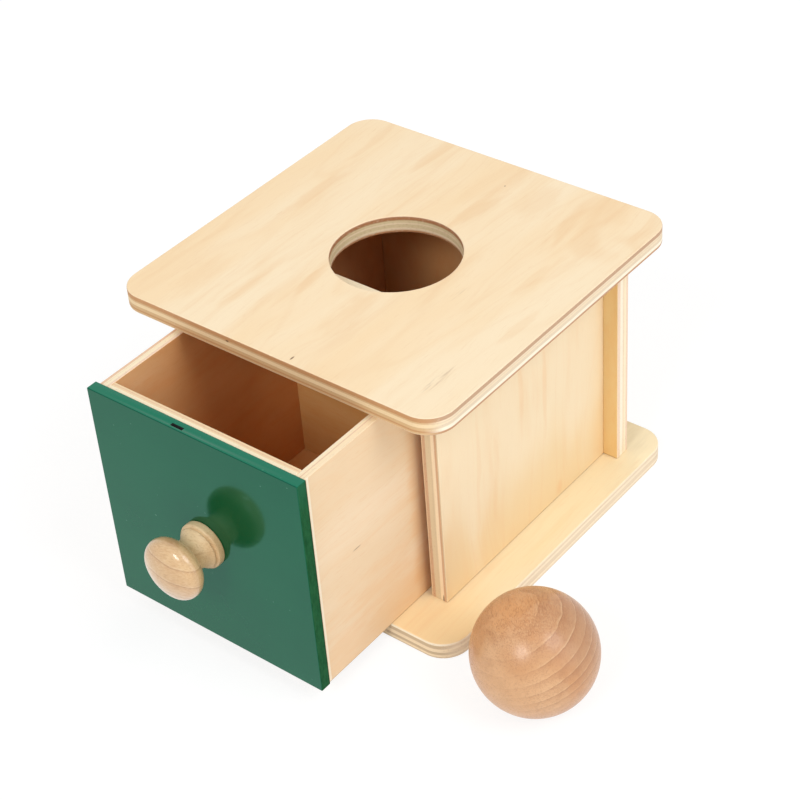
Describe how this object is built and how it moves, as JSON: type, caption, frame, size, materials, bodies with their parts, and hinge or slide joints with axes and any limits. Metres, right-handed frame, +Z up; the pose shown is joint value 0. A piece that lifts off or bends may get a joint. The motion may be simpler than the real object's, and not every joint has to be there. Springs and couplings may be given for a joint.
{
  "type": "object permanence box",
  "caption": "Plywood toy box with a round ball hole in its top board, a pull-out drawer with a painted front and turned knob, and a loose wooden ball.",
  "frame": {"origin": "centre of the base board's underside, on the ground", "axes": "+X to the right seen from the drawer's side, +Y from the drawer to the back panel, +Z up through the ball hole"},
  "size_m": [0.222, 0.2297, 0.1215],
  "materials": {
    "board_plywood": "pale basswood plywood, satin clear lacquer",
    "panel_plywood": "pale basswood plywood with upright grain, satin clear lacquer",
    "drawer_plywood": "thin pale plywood, satin clear lacquer",
    "dowel_wood": "plain beech dowel, glued",
    "green_paint": "satin green paint on plywood",
    "turned_wood": "turned light wood, satin clear lacquer",
    "ball_wood": "turned wood with growth rings, satin clear lacquer",
    "screw_steel": "zinc-plated steel screw"
  },
  "bodies": {
    "case": {"base_board": "board_plywood", "top_board": "board_plywood", "left_side": "panel_plywood", "right_side": "panel_plywood", "back_panel": "panel_plywood", "base_dowels": "dowel_wood", "top_dowels": "dowel_wood"},
    "drawer": {"drawer_front": "green_paint", "drawer_inner_front": "drawer_plywood", "drawer_left": "drawer_plywood", "drawer_right": "drawer_plywood", "drawer_back": "drawer_plywood", "drawer_bottom": "drawer_plywood", "knob": "turned_wood", "knob_screw": "screw_steel"},
    "ball": {"ball": "ball_wood"}
  },
  "joints": [
    {"name": "drawer_slide", "type": "slide", "parent": "case", "child": "drawer", "axis": [0, -1, 0], "range_m": [-0.067, 0.04]},
    {"name": "ball_roll", "type": "slide", "parent": "case", "child": "ball", "axis": [1, 0, 0], "range_m": [-0.01, 0.1]}
  ]
}
